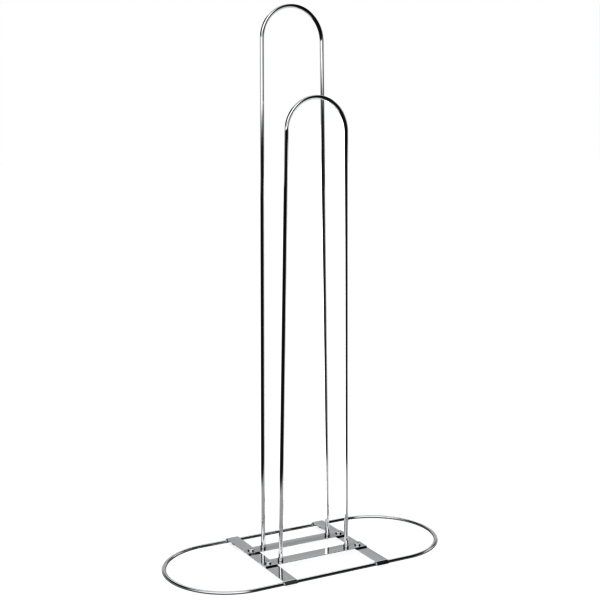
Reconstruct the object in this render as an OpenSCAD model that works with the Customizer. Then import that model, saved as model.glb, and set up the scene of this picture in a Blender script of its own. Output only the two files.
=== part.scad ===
// Hanger stacker: two upright wire loops on a low oval base, all of chromed steel.
// Hangers are dropped over the loops and pile up on the rails.
// The tall loop stands at the rear (+Y) and the short loop at the front (-Y).
// +X runs along the base and +Z is up. The origin is on the floor under the base's centre.

/* [Wire] */
// Diameter of the round wire of the base ring and of both loops
wire_d = 6.35; // [5:0.05:7]

/* [Base ring] */
// Length of the oval ring, between wire centres
ring_length = 482; // [440:1:560]
// Width of the oval ring, between wire centres
ring_width = 206; // [180:1:230]

/* [Straps and rails] */
// Thickness of the flat bar that the straps and rails are cut from
bar_t = 2; // [1.5:0.1:3]
// Width of each cross strap
strap_w = 22; // [18:0.5:26]
// Distance between the centre lines of the two straps
strap_spacing = 166.8; // [164:0.2:190]
// Angle by which each end of a strap is bent down over the ring's wire
lip_slant = 45; // [35:1:60]
// Length of the flat lip beyond that bend
lip_length = 5.5; // [3:0.5:6]
// Width of each rail
rail_w = 24.5; // [20:0.5:30]
// Distance between the centre lines of the two rails
rail_spacing = 62; // [50:1:80]

/* [Loops] */
// Height of the tall loop above the floor
tall_height = 889; // [700:1:1000]
// Height of the short loop above the floor
short_height = 745; // [600:1:880]
// Distance between the two feet of a loop
foot_spacing = 122.4; // [110:0.2:128]
// Radius of the bend over the tall loop's top, to the wire's centre
tall_bend_r = 53.6; // [48:0.1:58]
// Radius of the bend over the short loop's top, to the wire's centre
short_bend_r = 52.5; // [48:0.1:58]
// Distance that the tall loop's top leans to the rear
tall_lean = 11.6; // [0:0.1:30]
// Distance that the short loop's top leans to the front
short_lean = 6.8; // [0:0.1:30]

/* [Fasteners] */
// Thread diameter of the screws and of the studs on the loops' feet
thread_d = 5; // [4:0.5:5]
// Diameter of the clearance holes in the straps and rails
hole_d = 5.5; // [5.2:0.1:6]
// Width of the nuts across their flats
nut_af = 8; // [7:0.5:10]
// Diameter of the round collar at each foot
collar_d = 9.3; // [8.6:0.1:10.5]
// Height of the round collar at each foot
collar_h = 4.7; // [4:0.1:6]
// Height of the nuts below the rails and straps
lower_nut_h = 4; // [3:0.1:4.5]
// Diameter of the screw heads
head_d = 11.2; // [9:0.1:13]
// Height of the screw heads, with the dome on top
head_h = 2.8; // [2.2:0.1:3.5]

/* [Hidden] */
$fn = 96;
wire_r = wire_d / 2;
strap_x = strap_spacing / 2;
rail_y = rail_spacing / 2;
foot_x = foot_spacing / 2;
straight_x = (ring_length - ring_width) / 2;
ring_r = ring_width / 2;

// Levels: the straps lie on the ring, the rails on the straps, the collars on the rails
strap_z = wire_d;
rail_z = strap_z + bar_t;
rail_top = rail_z + bar_t;
shoulder_z = rail_top + collar_h;

strap_bend_r = 0.6;
bend_steps = 6;
// Centre of the bend at a strap's end, placed so that the lip touches the wire
bend_y = ring_r + (wire_r - strap_bend_r) * tan(lip_slant / 2);
bend_z = strap_z - strap_bend_r;

// The rails end level with the outer edges of the straps
rail_length = strap_spacing + strap_w;

thread_gap = 0.05;
stud_tip = 1;
tip_chamfer = 0.4;
collar_chamfer = 0.6;
dome_h = 0.6;
recess_l = 3.6;
recess_w = 1.1;
recess_depth = 1.5;
screw_length = 2 * bar_t + lower_nut_h;
chrome = [0.80, 0.81, 0.83];
bright_chrome = [0.72, 0.73, 0.76];

// One half turn of the ring, with its open side towards the middle
module ring_end(side) {
    translate([side * straight_x, 0, wire_r])
        rotate([0, 0, -90 * side])
            rotate_extrude(angle = 180)
                translate([ring_r, 0]) circle(d = wire_d);
}

// Oval ring of round wire that lies on the floor, bent from one length and butt welded
module base_ring() {
    color(chrome) union() {
        for (side = [-1, 1]) {
            ring_end(side);
            translate([-straight_x, side * ring_r, wire_r])
                rotate([0, 90, 0]) cylinder(d = wire_d, h = 2 * straight_x);
        }
    }
}

// Points of a strap's bend at the radius r from its centre, from the flat to the lip.
// A strap is drawn from its side, in the plane of Y and Z
function bend_points(r) = [
    for (step = [0:bend_steps])
        let (angle = lip_slant * step / bend_steps)
            [bend_y + r * sin(angle), bend_z + r * cos(angle)]
];

function reversed(points) = [for (i = [len(points) - 1:-1:0]) points[i]];

// Outline of a strap: flat on the wire, with a tight bend at each end and then a flat lip
// that slants down and touches the wire's outer side
module strap_profile() {
    outer = bend_points(strap_bend_r + bar_t);
    inner = bend_points(strap_bend_r);
    lip = lip_length * [cos(lip_slant), -sin(lip_slant)];
    tip = [outer[bend_steps] + lip, inner[bend_steps] + lip];
    right_end = concat(outer, tip, reversed(inner));
    left_end = [for (point = reversed(right_end)) [-point.x, point.y]];
    polygon(concat(right_end, left_end));
}

// Flat bar across the ring, bent down over the wire at both ends
module cross_strap(side) {
    color(chrome) difference() {
        translate([side * strap_x - strap_w / 2, 0, 0])
            rotate([90, 0, 90]) linear_extrude(height = strap_w) strap_profile();
        for (end = [-1, 1])
            translate([side * strap_x, end * rail_y, strap_z - 1])
                cylinder(d = hole_d, h = bar_t + 2);
    }
}

// Flat bar from strap to strap, with a hole for each screw and for each foot
module rail(side) {
    color(chrome) difference() {
        translate([-rail_length / 2, side * rail_y - rail_w / 2, rail_z])
            cube([rail_length, rail_w, bar_t]);
        for (x = [-strap_x, -foot_x, foot_x, strap_x])
            translate([x, side * rail_y, rail_z - 1])
                cylinder(d = hole_d, h = bar_t + 2);
    }
}

// Threaded length, as a plain cylinder, that hangs down from z = 0 to a chamfered tip
module shank(length) {
    translate([0, 0, tip_chamfer - length]) cylinder(d = thread_d, h = length - tip_chamfer);
    translate([0, 0, -length])
        cylinder(d1 = thread_d - 2 * tip_chamfer, d2 = thread_d, h = tip_chamfer);
}

// Right half of a loop in its own upright plane, with the centre of the bend at the
// origin. The leg leaves the bend at the spread angle. The end over the top is cut
// square in the plane x = 0, where the mirrored half meets it.
module half_loop(bend_r, spread, leg) {
    cut = bend_r + wire_d;
    difference() {
        rotate([90, 0, 0]) rotate([0, 0, spread]) union() {
            rotate_extrude(angle = 95) translate([bend_r, 0]) circle(d = wire_d);
            translate([bend_r, 0, 0]) rotate([90, 0, 0]) cylinder(d = wire_d, h = leg);
        }
        translate([-cut, -cut / 2, 0]) cube(cut);
    }
}

// Upright loop of round wire. Its legs spread towards the feet, so each leg is the
// line from the foot that touches the bend. The loop leans by lean over its rise.
module wire_loop(height, bend_r, lean, side) {
    rise = height - wire_r - shoulder_z;
    lean_angle = atan2(lean, rise);
    bend_z = rise / cos(lean_angle) - bend_r;
    reach = norm([foot_x, bend_z]);
    spread = acos(bend_r / reach) - atan2(bend_z, foot_x);
    // Each leg is drawn a little too long, and the cut at the shoulder ends it level
    leg = sqrt(reach * reach - bend_r * bend_r) + wire_d;

    color(chrome) translate([0, side * rail_y, shoulder_z]) union() {
        difference() {
            rotate([-side * lean_angle, 0, 0]) translate([0, 0, bend_z])
                for (end = [0, 1]) mirror([end, 0, 0]) half_loop(bend_r, spread, leg);
            translate([-foot_x - 2 * wire_d, -2 * wire_d, -3 * wire_d])
                cube([foot_spacing + 4 * wire_d, 4 * wire_d, 3 * wire_d]);
        }
        for (x = [-foot_x, foot_x]) translate([x, 0, wire_r / 2])
            shank(wire_r / 2 + collar_h + bar_t + lower_nut_h + stud_tip);
    }
}

module loop_tall() {
    wire_loop(tall_height, tall_bend_r, tall_lean, 1);
}

module loop_short() {
    wire_loop(short_height, short_bend_r, short_lean, -1);
}

// Hexagon nut standing on z = 0, with both ends chamfered and a plain bore
module hex_nut(h) {
    corner_r = nut_af / 2 / cos(30);
    chamfer_h = (corner_r - nut_af / 2) * tan(30);
    difference() {
        intersection() {
            cylinder(r = corner_r, h = h, $fn = 6);
            rotate_extrude() polygon([
                [0, 0], [nut_af / 2, 0], [corner_r, chamfer_h],
                [corner_r, h - chamfer_h], [nut_af / 2, h], [0, h]
            ]);
        }
        translate([0, 0, -1]) cylinder(d = thread_d + 2 * thread_gap, h = h + 2);
    }
}

// Pan-head screw with a cross recess, through a rail and the strap below it.
// The head has an upright side and a slightly domed top
module rail_screw(x_side, y_side) {
    dome_r = (head_d * head_d / 4 + dome_h * dome_h) / (2 * dome_h);
    turn = x_side * (20 + 12 * y_side);
    color(bright_chrome)
        translate([x_side * strap_x, y_side * rail_y, rail_top]) rotate([0, 0, turn]) union() {
            difference() {
                intersection() {
                    cylinder(d = head_d, h = head_h);
                    translate([0, 0, head_h - dome_r]) sphere(r = dome_r);
                }
                for (a = [0, 90]) rotate([0, 0, a])
                    translate([-recess_l / 2, -recess_w / 2, head_h - recess_depth])
                        cube([recess_l, recess_w, recess_depth + 1]);
            }
            shank(screw_length);
        }
}

// Nut below a strap, on a rail screw
module rail_nut(x_side, y_side) {
    color(bright_chrome)
        translate([x_side * strap_x, y_side * rail_y, strap_z - lower_nut_h])
            rotate([0, 0, x_side * (8 + 5 * y_side)]) hex_nut(lower_nut_h);
}

// Round collar between a loop's foot and the rail, with both outer edges chamfered
module foot_collar(x_side, y_side) {
    bore_r = thread_d / 2 + thread_gap;
    outer_r = collar_d / 2;
    edge_r = outer_r - collar_chamfer;
    color(bright_chrome)
        translate([x_side * foot_x, y_side * rail_y, rail_top])
            rotate_extrude() polygon([
                [bore_r, 0], [edge_r, 0], [outer_r, collar_chamfer],
                [outer_r, collar_h - collar_chamfer], [edge_r, collar_h], [bore_r, collar_h]
            ]);
}

// Nut below the rail that clamps the foot
module lower_nut(x_side, y_side) {
    color(bright_chrome)
        translate([x_side * foot_x, y_side * rail_y, rail_z - lower_nut_h])
            rotate([0, 0, x_side * (15 + 9 * y_side)]) hex_nut(lower_nut_h);
}

base_ring();
cross_strap(-1);  // cross_strap_left
cross_strap(1);  // cross_strap_right
rail(1);  // rail_rear
rail(-1);  // rail_front
loop_tall();
loop_short();
rail_screw(-1, 1);  // rail_screw_rear_left
rail_screw(1, 1);  // rail_screw_rear_right
rail_screw(-1, -1);  // rail_screw_front_left
rail_screw(1, -1);  // rail_screw_front_right
rail_nut(-1, 1);  // rail_nut_rear_left
rail_nut(1, 1);  // rail_nut_rear_right
rail_nut(-1, -1);  // rail_nut_front_left
rail_nut(1, -1);  // rail_nut_front_right
foot_collar(-1, 1);  // foot_collar_tall_left
foot_collar(1, 1);  // foot_collar_tall_right
foot_collar(-1, -1);  // foot_collar_short_left
foot_collar(1, -1);  // foot_collar_short_right
lower_nut(-1, 1);  // lower_nut_tall_left
lower_nut(1, 1);  // lower_nut_tall_right
lower_nut(-1, -1);  // lower_nut_short_left
lower_nut(1, -1);  // lower_nut_short_right
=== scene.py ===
"""Studio scene of the hanger stacker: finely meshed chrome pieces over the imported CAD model."""
import math

import bmesh
import bpy
from mathutils import Matrix, Vector


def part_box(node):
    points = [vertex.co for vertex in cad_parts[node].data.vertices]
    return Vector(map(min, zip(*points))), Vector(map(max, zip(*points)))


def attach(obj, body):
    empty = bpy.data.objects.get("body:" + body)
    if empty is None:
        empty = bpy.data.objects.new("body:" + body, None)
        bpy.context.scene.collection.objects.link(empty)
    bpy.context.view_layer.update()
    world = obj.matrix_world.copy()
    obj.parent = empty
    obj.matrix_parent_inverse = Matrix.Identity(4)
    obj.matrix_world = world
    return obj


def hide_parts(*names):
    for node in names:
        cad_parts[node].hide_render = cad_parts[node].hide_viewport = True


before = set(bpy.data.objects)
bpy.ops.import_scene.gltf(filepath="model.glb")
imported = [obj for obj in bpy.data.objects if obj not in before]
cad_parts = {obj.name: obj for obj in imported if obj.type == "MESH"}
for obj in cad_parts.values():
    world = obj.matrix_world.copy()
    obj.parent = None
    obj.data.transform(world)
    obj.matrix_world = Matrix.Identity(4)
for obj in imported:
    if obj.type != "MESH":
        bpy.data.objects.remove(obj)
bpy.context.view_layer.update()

MM = 0.001
SIDES = 48

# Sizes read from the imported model, in metres
ring_low, ring_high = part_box("base_ring")
strap_low, strap_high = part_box("cross_strap_right")
rail_low, rail_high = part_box("rail_rear")
screw_low, screw_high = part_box("rail_screw_rear_right")
collar_low, collar_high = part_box("foot_collar_tall_right")

WIRE_R = (ring_high.z - ring_low.z) / 2
RING_HALF_LENGTH = ring_high.x - WIRE_R
RING_R = ring_high.y - WIRE_R
STRAP_X = (strap_low.x + strap_high.x) / 2
STRAP_W = strap_high.x - strap_low.x
RAIL_Y = (rail_low.y + rail_high.y) / 2
RAIL_W = rail_high.y - rail_low.y
RAIL_TOP = rail_high.z
BAR_T = rail_high.z - rail_low.z
STRAP_Z = strap_high.z - BAR_T
FOOT_X = (collar_low.x + collar_high.x) / 2
SHOULDER_Z = collar_high.z
COLLAR_R = (collar_high.x - collar_low.x) / 2
HEAD_R = (screw_high.x - screw_low.x) / 2
HEAD_TOP = screw_high.z

# Sizes that a box doesn't give, as in the part's source
LIP_SLANT = math.radians(45)
LIP_LENGTH = 5.5 * MM
STRAP_BEND_R = 0.6 * MM
TALL_BEND_R = 53.6 * MM
SHORT_BEND_R = 52.5 * MM
TALL_LEAN = 11.6 * MM
SHORT_LEAN = 6.8 * MM
THREAD_R = 2.5 * MM
STUD_TIP = 1 * MM
DOME_H = 0.6 * MM
HOLE_R = 2.75 * MM
BORE_R = 2.55 * MM
NUT_FLAT_R = 4 * MM
LOWER_NUT_H = 4 * MM
RECESS_L = 3.6 * MM
RECESS_W = 1.1 * MM
RECESS_DEPTH = 1.5 * MM

# Finish details of the real metal
THREAD_PITCH = 0.8 * MM
THREAD_DEPTH = 0.45 * MM
THREAD_STEPS = 8
BAR_EDGE_R = 0.5 * MM
HEAD_CORNER_R = 1.2 * MM
RECESS_MOUTH = 0.3 * MM
RECESS_TAPER = 0.75
NUT_CORNER_R = 0.3 * MM
NUT_SINK = 0.35 * MM
COLLAR_CORNER_R = 0.8 * MM
COLLAR_CHAMFER = 0.3 * MM
POLISH_SCALE = 700
PEEL_SCALE = 450
PEEL_DEPTH = 0.02 * MM


# ---------------------------------------------------------------- camera

CAMERA_AZ = math.radians(-28.65)
CAMERA_EL = math.radians(8.22)
CAMERA_DISTANCE = 1.745
CAMERA_TARGET = Vector((-0.0056, 0.0061, 0.4233))
CAMERA_LENS = 65.35


def make_camera():
    data = bpy.data.cameras.new("camera")
    data.lens = CAMERA_LENS
    data.sensor_width = 36
    data.clip_start = 0.01
    data.clip_end = 100
    camera = bpy.data.objects.new("camera", data)
    bpy.context.scene.collection.objects.link(camera)
    back = Vector((
        math.sin(CAMERA_AZ) * math.cos(CAMERA_EL),
        -math.cos(CAMERA_AZ) * math.cos(CAMERA_EL),
        math.sin(CAMERA_EL),
    ))
    camera.location = CAMERA_TARGET + back * CAMERA_DISTANCE
    camera.rotation_mode = "QUATERNION"
    camera.rotation_quaternion = (-back).to_track_quat("-Z", "Y")
    bpy.context.scene.camera = camera


make_camera()


# ---------------------------------------------------------------- mesh helpers

def new_object(name, verts, faces):
    mesh = bpy.data.meshes.new(name)
    mesh.from_pydata([tuple(v) for v in verts], [], faces)
    work = bmesh.new()
    work.from_mesh(mesh)
    bmesh.ops.recalc_face_normals(work, faces=work.faces)
    work.to_mesh(mesh)
    work.free()
    obj = bpy.data.objects.new(name, mesh)
    bpy.context.scene.collection.objects.link(obj)
    return obj


def apply_modifiers(obj):
    graph = bpy.context.evaluated_depsgraph_get()
    mesh = bpy.data.meshes.new_from_object(obj.evaluated_get(graph), depsgraph=graph)
    obj.modifiers.clear()
    obj.data = mesh


def combine(obj, other, operation="DIFFERENCE"):
    """Boolean of obj with other, which is used up."""
    step = obj.modifiers.new("cut", "BOOLEAN")
    step.object = other
    step.operation = operation
    step.solver = "EXACT"
    apply_modifiers(obj)
    bpy.data.objects.remove(other)


def shade(obj, flat_faces=False):
    """Smooth shading with sharp edges kept. flat_faces keeps large flat faces truly flat."""
    obj.data.shade_smooth()
    obj.data.set_sharp_from_angle(angle=math.radians(40))
    if flat_faces:
        step = obj.modifiers.new("normals", "WEIGHTED_NORMAL")
        step.mode = "FACE_AREA"
        step.weight = 100
        step.keep_sharp = True
        apply_modifiers(obj)


def sweep(name, rings, closed=False):
    """Skin over rings of equally many points. Its ends are capped unless it is closed."""
    sides = len(rings[0])
    count = len(rings)
    verts = [p for ring in rings for p in ring]
    faces = []
    for i in range(count if closed else count - 1):
        a, b = i * sides, (i + 1) % count * sides
        for k in range(sides):
            n = (k + 1) % sides
            faces.append((a + k, a + n, b + n, b + k))
    if not closed:
        faces.append(tuple(range(sides)))
        faces.append(tuple(range((count - 1) * sides, count * sides)))
    return new_object(name, verts, faces)


def circle(centre, tangent, binormal, radius):
    """Ring of SIDES points about a path. radius is a length or a function of the turn."""
    normal = binormal.cross(tangent).normalized()
    points = []
    for k in range(SIDES):
        turn = k / SIDES
        r = radius(turn) if callable(radius) else radius
        a = math.tau * turn
        points.append(centre + r * (math.cos(a) * normal + math.sin(a) * binormal))
    return points


def turned_rings(centre, outline):
    """Level rings about a vertical axis through centre, one for each (r, z) of the outline."""
    up, ahead = Vector((0, 0, 1)), Vector((0, 1, 0))
    return [circle(centre + Vector((0, 0, z)), up, ahead, r) for r, z in outline]


def lathe(name, centre, outline, closed=False):
    """Solid of revolution about a vertical axis through centre, from its (r, z) outline."""
    return sweep(name, turned_rings(centre, outline), closed)


def rounded_rectangle(half_w, half_h, radius, steps=4):
    """Outline points of a rectangle with rounded corners."""
    points = []
    for corner, (sx, sy) in enumerate(((1, 1), (-1, 1), (-1, -1), (1, -1))):
        for k in range(steps + 1):
            a = math.radians(90 * (corner + k / steps))
            points.append((
                sx * (half_w - radius) + radius * math.cos(a),
                sy * (half_h - radius) + radius * math.sin(a),
            ))
    return points


def flat_bar(name, path, across):
    """Flat bar of rounded section along path, a list of (point, tangent, width).
    across is the direction of its width. Both cut ends are slightly rounded."""
    def section(point, tangent, width, inset=0.0):
        normal = across.cross(tangent).normalized()
        outline = rounded_rectangle(
            width / 2 - inset, BAR_T / 2 - inset, max(BAR_EDGE_R - inset, 0.02 * MM))
        return [point + a * across + b * normal for a, b in outline]

    rings = [section(*step) for step in path[1:-1]]
    for end, sign in ((path[0], 1), (path[-1], -1)):
        point, tangent, width = end
        cut_end = []
        for k in range(4):
            a = math.radians(30 * k)
            inset = BAR_EDGE_R * (1 - math.sin(a))
            along = BAR_EDGE_R * (1 - math.cos(a))
            cut_end.append(section(point + sign * along * tangent, tangent, width, inset))
        rings = cut_end + rings if sign == 1 else rings + cut_end[::-1]
    return sweep(name, rings)


def drill(obj, x, y, low, high, radius=HOLE_R):
    margin = 1 * MM
    cutter = lathe("cutter", Vector((x, y, 0)), [(radius, low - margin), (radius, high + margin)])
    combine(obj, cutter)


# ---------------------------------------------------------------- threads

def thread_radius(s, length, up):
    """Radius of a right-hand thread as a function of the turn, at the distance s from its start."""
    run_in = min(1.0, max(0.0, s / THREAD_PITCH - 0.5))
    tip = max(0.0, THREAD_PITCH / 2 - (length - s))

    def radius(turn):
        valley = abs(2 * ((s / THREAD_PITCH + up * turn) % 1.0) - 1)
        groove = THREAD_DEPTH * run_in * min(1.0, 1.25 * valley)
        return min(THREAD_R - groove, THREAD_R - tip)
    return radius


def thread_rings(start, length, up=1):
    """Rings of a threaded end that hangs down from start, in the order of going down.
    up is 1 where the path that they belong to runs upwards, and -1 where it runs down."""
    steps = round(length / THREAD_PITCH * THREAD_STEPS)
    rings = []
    for i in range(steps + 1):
        s = length * i / steps
        centre = start - Vector((0, 0, s))
        rings.append(circle(centre, Vector((0, 0, up)), Vector((0, 1, 0)),
                            thread_radius(s, length, up)))
    return rings


# ---------------------------------------------------------------- pieces

def base_ring():
    """Closed oval of round wire."""
    straight = RING_HALF_LENGTH - RING_R
    steps = 96
    rings = []
    up = Vector((0, 0, 1))
    for side in (1, -1):
        for k in range(steps + 1):
            a = math.pi * k / steps - math.pi / 2
            outward = Vector((math.cos(a), math.sin(a), 0)) * side
            centre = Vector((side * straight, 0, WIRE_R)) + RING_R * outward
            rings.append(circle(centre, up.cross(outward), up, WIRE_R))
    obj = sweep("ring_wire", rings, closed=True)
    shade(obj)
    return obj


def loop(name, top, bend_r, lean, side):
    """Upright loop: leg, bend and leg in one leaning plane, with a threaded stud at each foot."""
    rise = top - WIRE_R - SHOULDER_Z
    lean_angle = math.atan2(lean, rise)
    bend_z = rise / math.cos(lean_angle) - bend_r
    reach = math.hypot(FOOT_X, bend_z)
    spread = math.acos(bend_r / reach) - math.atan2(bend_z, FOOT_X)
    tilt = Matrix.Rotation(-side * lean_angle, 3, "X")
    foot_centre = Vector((0, side * RAIL_Y, SHOULDER_Z))
    binormal = tilt @ Vector((0, 1, 0))

    def place(x, z):
        return foot_centre + tilt @ Vector((x, 0, z))

    def foot(x_side):
        """Rings of a foot, from the wire's level shoulder down to the stud's tip."""
        tangent = (tilt @ Vector((-math.sin(spread), 0, x_side * math.cos(spread)))).normalized()
        centre = place(x_side * FOOT_X, 0)
        shoulder = []
        for point in circle(centre, tangent, binormal, WIRE_R):
            shoulder.append(point + tangent * ((SHOULDER_Z - point.z) / tangent.z))
        length = SHOULDER_Z - RAIL_TOP + BAR_T + LOWER_NUT_H + STUD_TIP
        return [shoulder] + thread_rings(centre, length, x_side)

    steps = 128
    rings = foot(1)[::-1]
    for k in range(steps + 1):
        a = spread + (math.pi - 2 * spread) * k / steps
        tangent = tilt @ Vector((-math.sin(a), 0, math.cos(a)))
        rings.append(circle(place(bend_r * math.cos(a), bend_z + bend_r * math.sin(a)),
                            tangent, binormal, WIRE_R))
    rings += foot(-1)
    obj = sweep(name, rings)
    shade(obj)
    return obj


def strap(name, x_side):
    """Cross strap: a flat bar with both ends bent down over the ring's wire."""
    x = x_side * STRAP_X
    mid_r = STRAP_BEND_R + BAR_T / 2
    bend_y = RING_R + (WIRE_R - STRAP_BEND_R) * math.tan(LIP_SLANT / 2)
    centre = Vector((x, bend_y, STRAP_Z - STRAP_BEND_R))

    def bend(angle, beyond=0.0):
        """Point on the bend's middle line, or beyond it on the lip, and the way to the top."""
        inwards = Vector((0, -math.cos(angle), math.sin(angle)))
        outwards = Vector((0, math.sin(angle), math.cos(angle)))
        return centre + mid_r * outwards - beyond * inwards, inwards, STRAP_W

    half = [bend(LIP_SLANT, LIP_LENGTH), bend(LIP_SLANT, LIP_LENGTH / 2)]
    steps = 12
    half += [bend(LIP_SLANT * (1 - k / steps)) for k in range(steps + 1)]
    other = [(Vector((p.x, -p.y, p.z)), Vector((0, t.y, -t.z)), w) for p, t, w in half[::-1]]
    obj = flat_bar(name, half + other, Vector((1, 0, 0)))
    for y_side in (-1, 1):
        drill(obj, x, y_side * RAIL_Y, STRAP_Z, STRAP_Z + BAR_T)
    shade(obj, flat_faces=True)
    return obj


def rail(name, y_side):
    """Rail: a straight flat bar with four holes."""
    y, z = y_side * RAIL_Y, RAIL_TOP - BAR_T / 2
    ahead = Vector((1, 0, 0))
    path = [(Vector((x, y, z)), ahead, RAIL_W)
            for x in (rail_low.x, rail_low.x + 1 * MM, rail_high.x - 1 * MM, rail_high.x)]
    obj = flat_bar(name, path, Vector((0, 1, 0)))
    for x in (-STRAP_X, -FOOT_X, FOOT_X, STRAP_X):
        drill(obj, x, y, RAIL_TOP - BAR_T, RAIL_TOP)
    shade(obj, flat_faces=True)
    return obj


def turn_about(obj, centre, degrees):
    """Turns a finished mesh about the vertical axis through centre."""
    spot = Matrix.Translation(centre)
    obj.data.transform(spot @ Matrix.Rotation(math.radians(degrees), 4, "Z") @ spot.inverted())


def screw(name, x_side, y_side):
    """Domed cross-recess screw with a rolled thread."""
    centre = Vector((x_side * STRAP_X, y_side * RAIL_Y, 0))
    dome_r = (HEAD_R ** 2 + DOME_H ** 2) / (2 * DOME_H)
    corner = HEAD_CORNER_R
    outline = []
    steps = 14
    for k in range(steps + 1):
        r = max(0.04 * MM, (HEAD_R - corner) * k / steps)
        outline.append((r, HEAD_TOP - dome_r + math.sqrt(dome_r ** 2 - r ** 2)))
    arc_z = outline[-1][1] - corner
    outline += [(HEAD_R - corner + corner * math.sin(a), arc_z + corner * math.cos(a))
                for a in (math.radians(15 * k) for k in range(1, 7))]
    outline += [(HEAD_R, RAIL_TOP + 0.1 * MM), (HEAD_R - 0.1 * MM, RAIL_TOP)]
    length = 2 * BAR_T + LOWER_NUT_H
    thread = thread_rings(centre + Vector((0, 0, RAIL_TOP)), length)
    obj = sweep(name, turned_rings(centre, outline) + thread)

    def cross(half_l, half_w, z):
        corners = []
        for k in range(4):
            turn = Matrix.Rotation(math.pi / 2 * k, 3, "Z")
            for x, y in ((half_l, -half_w), (half_l, half_w), (half_w, half_w)):
                corners.append(centre + turn @ Vector((x, y, z)))
        return corners

    half_l, half_w = RECESS_L / 2, RECESS_W / 2
    cutter = sweep("cutter", [
        cross(half_l, half_w, HEAD_TOP + 0.5 * MM),
        cross(half_l, half_w, HEAD_TOP - RECESS_MOUTH),
        cross(half_l * RECESS_TAPER, half_w * RECESS_TAPER, HEAD_TOP - RECESS_DEPTH),
    ])
    combine(obj, cutter)
    turn_about(obj, centre, x_side * (20 + 12 * y_side))
    shade(obj)
    return obj


def nut(name, x, y, low, height, degrees):
    """Hexagon nut with rounded corners, both ends chamfered, and a countersunk bore."""
    centre = Vector((x, y, 0))
    corner_r = NUT_FLAT_R / math.cos(math.radians(30))
    chamfer = (corner_r - NUT_FLAT_R) * math.tan(math.radians(30))
    hexagon = []
    inner = corner_r - NUT_CORNER_R / math.cos(math.radians(30))
    for k in range(6):
        middle = 60 * k
        spot = Vector((math.cos(math.radians(middle)), math.sin(math.radians(middle)), 0)) * inner
        for step in (-30, -15, 0, 15, 30):
            a = math.radians(middle + step)
            hexagon.append(spot + NUT_CORNER_R * Vector((math.cos(a), math.sin(a), 0)))
    obj = sweep(name, [[centre + p + Vector((0, 0, z)) for p in hexagon]
                       for z in (low, low + height)])
    combine(obj, lathe("turning", centre, [
        (NUT_FLAT_R - 0.1 * MM, low - 0.05 * MM), (corner_r, low + chamfer),
        (corner_r, low + height - chamfer), (NUT_FLAT_R - 0.1 * MM, low + height + 0.05 * MM),
    ]), "INTERSECT")
    sink = NUT_SINK
    combine(obj, lathe("bore", centre, [
        (BORE_R + 2 * sink, low - sink), (BORE_R, low + sink),
        (BORE_R, low + height - sink), (BORE_R + 2 * sink, low + height + sink),
    ]))
    turn_about(obj, centre, degrees)
    shade(obj, flat_faces=True)
    return obj


def collar(name, x, y):
    """Turned collar between a loop's foot and the rail, with rounded edges and a plain bore."""
    corner = COLLAR_CORNER_R
    outline = [(COLLAR_R - corner + corner * math.sin(a), SHOULDER_Z - corner + corner * math.cos(a))
               for a in (math.radians(15 * k) for k in range(7))]
    outline += [(COLLAR_R - corner + corner * math.cos(a), RAIL_TOP + corner - corner * math.sin(a))
                for a in (math.radians(15 * k) for k in range(7))]
    outline += [(BORE_R + COLLAR_CHAMFER, RAIL_TOP), (BORE_R, RAIL_TOP + COLLAR_CHAMFER),
                (BORE_R, SHOULDER_Z - COLLAR_CHAMFER), (BORE_R + COLLAR_CHAMFER, SHOULDER_Z)]
    obj = lathe(name, Vector((x, y, 0)), outline, closed=True)
    shade(obj)
    return obj


# ---------------------------------------------------------------- materials

# Places of the colour sockets on a mix node
COLOUR_A = 6
COLOUR_B = 7
COLOUR_RESULT = 2

# Scales of a pattern along each axis, where a small one draws it out into lines
EVEN = (1, 1, 1)
ALONG_X = (0.03, 1, 1)
ALONG_Y = (1, 0.03, 1)


def chrome(name, light, dark, roughness, streaks, waviness, tone_scale=35):
    """Chrome plate: slow tone drift, fine polishing streaks and a slight orange peel."""
    material = bpy.data.materials.new(name)
    material.use_nodes = True
    nodes, links = material.node_tree.nodes, material.node_tree.links
    shader = nodes["Principled BSDF"]
    shader.inputs["Metallic"].default_value = 1.0
    place = nodes.new("ShaderNodeTexCoord")

    def noise(scale, detail, stretch=EVEN):
        mapping = nodes.new("ShaderNodeMapping")
        mapping.inputs["Scale"].default_value = stretch
        texture = nodes.new("ShaderNodeTexNoise")
        texture.inputs["Scale"].default_value = scale
        texture.inputs["Detail"].default_value = detail
        links.new(place.outputs["Object"], mapping.inputs["Vector"])
        links.new(mapping.outputs["Vector"], texture.inputs["Vector"])
        return texture.outputs["Fac"]

    def spread(value, low, high):
        """Stretches the middle of the noise, from 0.3 to 0.7, to the range from low to high."""
        step = nodes.new("ShaderNodeMapRange")
        step.inputs["From Min"].default_value = 0.3
        step.inputs["From Max"].default_value = 0.7
        step.inputs["To Min"].default_value = low
        step.inputs["To Max"].default_value = high
        links.new(value, step.inputs["Value"])
        return step.outputs["Result"]

    tone = nodes.new("ShaderNodeMix")
    tone.data_type = "RGBA"
    tone.inputs[COLOUR_A].default_value = (*light, 1)
    tone.inputs[COLOUR_B].default_value = (*dark, 1)
    links.new(spread(noise(tone_scale, 3, streaks), 0.0, 1.0), tone.inputs["Factor"])
    links.new(tone.outputs[COLOUR_RESULT], shader.inputs["Base Color"])

    links.new(spread(noise(POLISH_SCALE, 4, streaks), *roughness), shader.inputs["Roughness"])

    bump = nodes.new("ShaderNodeBump")
    bump.inputs["Strength"].default_value = waviness
    bump.inputs["Distance"].default_value = PEEL_DEPTH
    links.new(noise(PEEL_SCALE, 2), bump.inputs["Height"])
    links.new(bump.outputs["Normal"], shader.inputs["Normal"])
    return material


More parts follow.
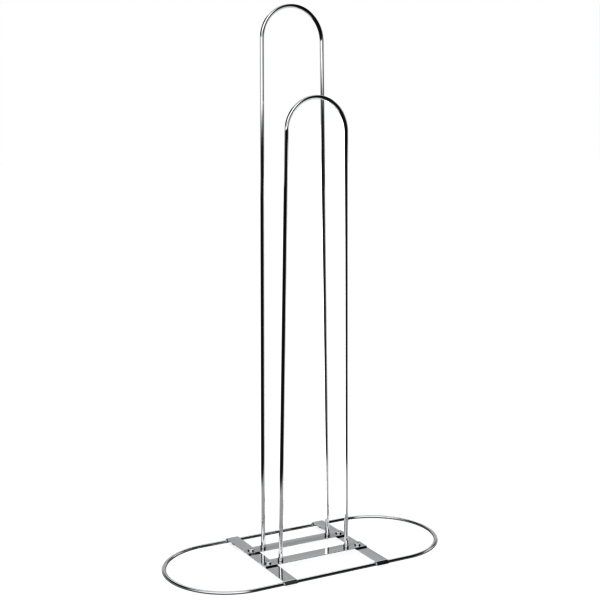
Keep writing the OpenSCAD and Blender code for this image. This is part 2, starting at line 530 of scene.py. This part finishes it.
MATERIALS = {
    "wire": chrome("wire_chrome", light=(0.90, 0.905, 0.915), dark=(0.84, 0.845, 0.86),
                   roughness=(0.02, 0.06), streaks=EVEN, waviness=0.10),
    "strap": chrome("strap_chrome", light=(0.91, 0.915, 0.92), dark=(0.80, 0.805, 0.815),
                    roughness=(0.05, 0.11), streaks=ALONG_Y, waviness=0.12, tone_scale=130),
    "rail": chrome("rail_chrome", light=(0.91, 0.915, 0.92), dark=(0.74, 0.745, 0.755),
                   roughness=(0.05, 0.11), streaks=ALONG_X, waviness=0.12, tone_scale=130),
    "screw": chrome("screw_chrome", light=(0.87, 0.875, 0.88), dark=(0.79, 0.795, 0.80),
                    roughness=(0.05, 0.12), streaks=EVEN, waviness=0.15),
    "nut": chrome("nut_chrome", light=(0.87, 0.875, 0.88), dark=(0.79, 0.795, 0.80),
                  roughness=(0.06, 0.13), streaks=EVEN, waviness=0.15),
}


def fit(obj, node, slot, finish=None):
    """obj stands for a CAD node, with the finish of its material slot or a variant of it."""
    obj.data.materials.clear()
    obj.data.materials.append(MATERIALS[finish or slot])
    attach(obj, "root")
    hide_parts(node)


# ---------------------------------------------------------------- the stand

fit(base_ring(), "base_ring", "wire")
fit(loop("tall_wire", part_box("loop_tall")[1].z, TALL_BEND_R, TALL_LEAN, 1), "loop_tall", "wire")
fit(loop("short_wire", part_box("loop_short")[1].z, SHORT_BEND_R, SHORT_LEAN, -1),
    "loop_short", "wire")
for x_name, x_side in (("left", -1), ("right", 1)):
    fit(strap(f"strap_{x_name}", x_side), f"cross_strap_{x_name}", "bar", "strap")
# Each screw and nut has an angle of its own, as tightening would leave it
for y_name, loop_name, y_side in (("rear", "tall", 1), ("front", "short", -1)):
    fit(rail(f"rail_bar_{y_name}", y_side), f"rail_{y_name}", "bar", "rail")
    for x_name, x_side in (("left", -1), ("right", 1)):
        strap_spot = x_side * STRAP_X, y_side * RAIL_Y
        foot_spot = x_side * FOOT_X, y_side * RAIL_Y
        fit(screw(f"screw_{y_name}_{x_name}", x_side, y_side),
            f"rail_screw_{y_name}_{x_name}", "screw")
        fit(nut(f"strap_nut_{y_name}_{x_name}", *strap_spot, STRAP_Z - LOWER_NUT_H, LOWER_NUT_H,
                x_side * (8 + 5 * y_side)),
            f"rail_nut_{y_name}_{x_name}", "nut")
        fit(collar(f"collar_{loop_name}_{x_name}", *foot_spot),
            f"foot_collar_{loop_name}_{x_name}", "nut")
        fit(nut(f"clamp_nut_{loop_name}_{x_name}", *foot_spot,
                RAIL_TOP - BAR_T - LOWER_NUT_H, LOWER_NUT_H, x_side * (15 + 9 * y_side)),
            f"lower_nut_{loop_name}_{x_name}", "nut")


# ---------------------------------------------------------------- studio

# Brightness of the studio in the chrome, where 1 is white
TABLE_FRONT = 0.66
TABLE_REAR = 1.1
# Painted dark reflection: tone of the table sheet's dark band along the ring's rear and dark skirt
# along its wire
PAINTED_DARK_REFLECTION = 0.12
# Painted highlight: the bright line on the table sheet right under the ring's wire
PAINTED_HIGHLIGHT_UNDER_WIRE = 1.15
FLOOR_FRONT = 0.06
FLOOR_REAR = 0.9
BOX_FRONT = 1.3
BOX_FRONT_LOW = 0.88
BOX_MIDDLE = 0.65
BOX_REAR = 1.0
BOX_REAR_LOW = 0.72
SIDE_LEFT = 0.06
SIDE_RIGHT = 0.26
SIDE_FAR_RIGHT = 0.02
SIDE_REAR = 0.15
PALE_WALL = 0.95
LOW_BAND = 0.75
FLOOR_LINE = 0.05
CARD = 1.25

# Brightness of the paper that the camera sees, lit by the overhead light and on its own
PAPER_GREY = 0.12
PAPER_GLOW = 0.9
OVERHEAD_ENERGY = 0.75

CARD_LEAN = math.radians(4)


class Tones:
    """Shader sums that give the brightness of the studio in each direction from the stand."""

    def __init__(self, tree, vector):
        self.nodes, self.links = tree.nodes, tree.links
        turn = self.nodes.new("ShaderNodeVectorRotate")
        turn.rotation_type = "Z_AXIS"
        turn.inputs["Angle"].default_value = -CAMERA_AZ
        self.links.new(vector, turn.inputs["Vector"])
        x, y, z = self.split(turn.outputs["Vector"])
        self.distance = self.length(x, y)
        # Degrees up, and degrees about the stand: 0 towards the front, positive to its right
        self.elevation = self.sum("DEGREES", self.sum("ARCTAN2", z, self.distance))
        self.right, self.front = x, self.sum("MULTIPLY", y, -1.0)
        self.azimuth = self.sum("DEGREES", self.sum("ARCTAN2", x, self.front))

    def split(self, vector):
        parts = self.nodes.new("ShaderNodeSeparateXYZ")
        self.links.new(vector, parts.inputs["Vector"])
        return parts.outputs

    def sum(self, operation, *values):
        step = self.nodes.new("ShaderNodeMath")
        step.operation = operation
        for socket, value in zip(step.inputs, values):
            if isinstance(value, (int, float)):
                socket.default_value = value
            else:
                self.links.new(value, socket)
        return step.outputs[0]

    def length(self, x, y):
        return self.sum("SQRT", self.sum("ADD", self.sum("MULTIPLY", x, x),
                                         self.sum("MULTIPLY", y, y)))

    def gap(self, value, middle):
        """How far value is from middle, on either side."""
        return self.sum("ABSOLUTE", self.sum("SUBTRACT", value, middle))

    def both(self, one, other):
        """The share that two shares have in common."""
        return self.sum("MULTIPLY", one, other)

    def step(self, value, start, end):
        """0 before start and 1 after end, with a soft change between them."""
        ramp = self.nodes.new("ShaderNodeMapRange")
        ramp.interpolation_type = "SMOOTHSTEP"
        ramp.inputs["From Min"].default_value = start
        ramp.inputs["From Max"].default_value = end
        self.links.new(value, ramp.inputs["Value"])
        return ramp.outputs["Result"]

    def mix(self, share, low, high):
        blend = self.nodes.new("ShaderNodeMix")
        for key, value in (("Factor", share), ("A", low), ("B", high)):
            if isinstance(value, (int, float)):
                blend.inputs[key].default_value = value
            else:
                self.links.new(value, blend.inputs[key])
        return blend.outputs["Result"]


def seen_by(obj, camera=False, glossy=False, diffuse=False):
    obj.visible_camera = camera
    obj.visible_glossy = glossy
    obj.visible_diffuse = diffuse
    obj.visible_shadow = False
    obj.visible_transmission = False
    obj.visible_volume_scatter = False


def studio_sheet(name, half, z):
    """Level sheet of the studio, with an empty material of its own."""
    work = bmesh.new()
    bmesh.ops.create_grid(work, x_segments=8, y_segments=8, size=half)
    mesh = bpy.data.meshes.new(name)
    work.to_mesh(mesh)
    work.free()
    mesh.transform(Matrix.Translation((0, 0, z)))
    obj = bpy.data.objects.new(name, mesh)
    bpy.context.scene.collection.objects.link(obj)
    material = bpy.data.materials.new(name)
    material.use_nodes = True
    material.node_tree.nodes.clear()
    mesh.materials.append(material)
    return obj, material.node_tree


def make_floor():
    """Pale paper, so evenly lit that only a trace of a shadow shows."""
    floor, tree = studio_sheet("floor", 30, -0.5 * MM)
    paper = tree.nodes.new("ShaderNodeBsdfDiffuse")
    paper.inputs["Color"].default_value = (PAPER_GREY, PAPER_GREY, PAPER_GREY, 1)
    glow = tree.nodes.new("ShaderNodeEmission")
    glow.inputs["Strength"].default_value = PAPER_GLOW
    both = tree.nodes.new("ShaderNodeAddShader")
    out = tree.nodes.new("ShaderNodeOutputMaterial")
    tree.links.new(paper.outputs["BSDF"], both.inputs[0])
    tree.links.new(glow.outputs["Emission"], both.inputs[1])
    tree.links.new(both.outputs["Shader"], out.inputs["Surface"])
    seen_by(floor, camera=True, diffuse=True)


def table_tone_and_painted_reflection(tones, x, y):
    """Pale table, with painted dark reflection and a painted highlight that follow the ring's
    outline. x and y are in the stand's frame.
    """
    tone = tones.mix(tones.step(tones.gap(tones.azimuth, 0.0), 60, 140), TABLE_FRONT, TABLE_REAR)
    beyond_end = tones.sum("MAXIMUM", tones.sum(
        "SUBTRACT", tones.sum("ABSOLUTE", x), RING_HALF_LENGTH - RING_R), 0.0)
    outside = tones.sum("SUBTRACT", tones.length(beyond_end, y), RING_R)
    # Painted dark reflection: pale inside the ring, but dark along its rear, except at the left of
    # each strap
    rear = tones.both(tones.step(tones.sum("ADD", y, beyond_end), 62 * MM, 70 * MM),
                      tones.step(outside, -42 * MM, -34 * MM))
    off_strap = tones.gap(tones.gap(x, -18 * MM), STRAP_X)
    rear = tones.both(rear, tones.step(off_strap, 7 * MM, 9 * MM))
    inside = tones.step(outside, -5 * MM, -15 * MM)
    tone = tones.mix(inside, tone, tones.mix(rear, TABLE_REAR, PAINTED_DARK_REFLECTION))
    # A painted dark skirt along the ring's wire, with a painted highlight line right under the wire
    painted_dark_skirt = tones.both(tones.step(outside, 20 * MM, 12 * MM),
                       tones.step(outside, -16 * MM, -10 * MM))
    tone = tones.mix(painted_dark_skirt, tone, PAINTED_DARK_REFLECTION)
    off_wire = tones.sum("ABSOLUTE", outside)
    return tones.mix(tones.step(off_wire, 4 * MM, 6 * MM), PAINTED_HIGHLIGHT_UNDER_WIRE, tone)


def make_table():
    """What the chrome sees below the horizon: a glowing table with painted reflections around the
    ring, and beyond it a floor, dark in front.
    """
    table, tree = studio_sheet("table", 30, -0.2 * MM)
    place = tree.nodes.new("ShaderNodeTexCoord")
    tones = Tones(tree, place.outputs["Object"])
    x, y, _ = tones.split(place.outputs["Object"])
    floor = tones.mix(tones.step(tones.gap(tones.azimuth, -25.0), 75, 100),
                      FLOOR_FRONT, FLOOR_REAR)
    glow = tree.nodes.new("ShaderNodeEmission")
    tree.links.new(tones.mix(tones.step(tones.distance, 0.42, 0.56), table_tone_and_painted_reflection(tones, x, y), floor),
                   glow.inputs["Strength"])
    out = tree.nodes.new("ShaderNodeOutputMaterial")
    tree.links.new(glow.outputs["Emission"], out.inputs["Surface"])
    seen_by(table, glossy=True)


def soft_box(tones):
    """Tone of the long soft box overhead, from the front to the rear, and its share of the view."""
    front_end = tones.step(tones.front, 0.2, 0.7)
    rear_end = tones.step(tones.front, 0.05, -0.3)
    tone = tones.mix(front_end, tones.mix(rear_end, BOX_MIDDLE, BOX_REAR), BOX_FRONT)
    rear_low = tones.both(tones.step(tones.elevation, 34, 24), rear_end)
    tone = tones.mix(rear_low, tone, BOX_REAR_LOW)
    # A dimmer band low in front, so that the flat bars show on the white floor from behind
    front_low = tones.both(tones.step(tones.elevation, 8, 11), tones.step(tones.elevation, 23, 19))
    tone = tones.mix(tones.both(front_low, front_end), tone, BOX_FRONT_LOW)
    # The box widens at its front end, and on the left low down
    right_edge = tones.mix(tones.step(tones.front, 0.5, 0.85), 0.42, 0.66)
    low_front = tones.both(tones.step(tones.elevation, 50, 35), tones.step(tones.front, 0.0, 0.3))
    left_edge = tones.mix(low_front, -0.55, -0.88)
    past_right = tones.sum("SUBTRACT", tones.right, right_edge)
    past_left = tones.sum("SUBTRACT", tones.right, left_edge)
    share = tones.both(tones.step(past_right, 0.08, -0.08), tones.step(past_left, -0.08, 0.08))
    return tone, share


def side_walls(tones):
    """Tone of the dark sides, darkest at the front right, with a pale wall low on the right."""
    front_side = tones.mix(tones.step(tones.right, 0.54, 0.68), SIDE_RIGHT, SIDE_FAR_RIGHT)
    pale = tones.both(tones.step(tones.front, -0.7, -0.5), tones.step(tones.elevation, 40, 30))
    rear_side = tones.mix(pale, SIDE_REAR, PALE_WALL)
    right_side = tones.mix(tones.step(tones.front, -0.3, 0.0), rear_side, front_side)
    return tones.mix(tones.step(tones.right, -0.2, 0.2), SIDE_LEFT, right_side)


def make_world():
    """White to the camera. The chrome sees a soft box, dark sides and low bands instead."""
    world = bpy.data.worlds.new("studio")
    world.use_nodes = True
    bpy.context.scene.world = world
    tree = world.node_tree
    tree.nodes.clear()
    place = tree.nodes.new("ShaderNodeTexCoord")
    tones = Tones(tree, place.outputs["Generated"])
    box, box_share = soft_box(tones)
    room = tones.mix(box_share, side_walls(tones), box)
    # A pale band low down at the sides and behind, and a dark line above the floor in front
    off_centre = tones.gap(tones.azimuth, 5.0)
    low_band = tones.both(tones.step(tones.elevation, 14, 9), tones.step(off_centre, 58, 80))
    room = tones.mix(low_band, room, LOW_BAND)
    floor_line = tones.both(tones.step(tones.elevation, 4.5, 1.5), tones.step(off_centre, 85, 60))
    room = tones.mix(floor_line, room, FLOOR_LINE)

    look = tree.nodes.new("ShaderNodeBackground")
    look.inputs["Color"].default_value = (1, 1, 1, 1)
    tree.links.new(room, look.inputs["Strength"])
    plain = tree.nodes.new("ShaderNodeBackground")
    plain.inputs["Color"].default_value = (1, 1, 1, 1)
    path = tree.nodes.new("ShaderNodeLightPath")
    choice = tree.nodes.new("ShaderNodeMixShader")
    tree.links.new(path.outputs["Is Glossy Ray"], choice.inputs[0])
    tree.links.new(plain.outputs[0], choice.inputs[1])
    tree.links.new(look.outputs[0], choice.inputs[2])
    out = tree.nodes.new("ShaderNodeOutputWorld")
    tree.links.new(choice.outputs[0], out.inputs["Surface"])


def make_card(name, lit, right, rear, height, width, length):
    """Upright white card. Only the chrome of lit sees it, and only from the card's right.
    right and rear give its middle, as seen from the camera. Its top leans to the rear."""
    to_right = Vector((math.cos(CAMERA_AZ), math.sin(CAMERA_AZ), 0))
    to_rear = Vector((-math.sin(CAMERA_AZ), math.cos(CAMERA_AZ), 0))
    up = Vector((0, 0, math.cos(CARD_LEAN))) + to_rear * math.sin(CARD_LEAN)
    data = bpy.data.lights.new(name, "AREA")
    data.shape = "RECTANGLE"
    data.size = width
    data.size_y = length
    data.energy = CARD * math.pi * width * length
    card = bpy.data.objects.new(name, data)
    bpy.context.scene.collection.objects.link(card)
    turn = Matrix((up.cross(-to_right), up, -to_right)).transposed()
    middle = to_right * right + to_rear * rear + Vector((0, 0, height))
    card.matrix_world = Matrix.Translation(middle) @ turn.to_4x4()
    card.visible_camera = False
    card.visible_diffuse = False
    card.light_linking.receiver_collection = lit


def make_cards():
    """A card at the left of each right leg, whose left edge then melts into the white paper."""
    loops = bpy.data.collections.new("loops")
    for name in ("tall_wire", "short_wire"):
        loops.objects.link(bpy.data.objects[name])
    make_card("short_leg_card", loops, 54.6 * MM, 50.5 * MM, 395 * MM, 160 * MM, 670 * MM)
    make_card("tall_leg_card", loops, 17.6 * MM, 88.7 * MM, 366 * MM, 90 * MM, 668 * MM)


def make_light():
    data = bpy.data.lights.new("overhead", "SUN")
    data.energy = OVERHEAD_ENERGY
    data.angle = math.radians(80)
    light = bpy.data.objects.new("overhead", data)
    bpy.context.scene.collection.objects.link(light)
    light.visible_glossy = False


make_table()
make_floor()
make_cards()
make_light()
make_world()
bpy.context.scene.view_settings.view_transform = "Raw"
bpy.context.scene.view_settings.look = "None"
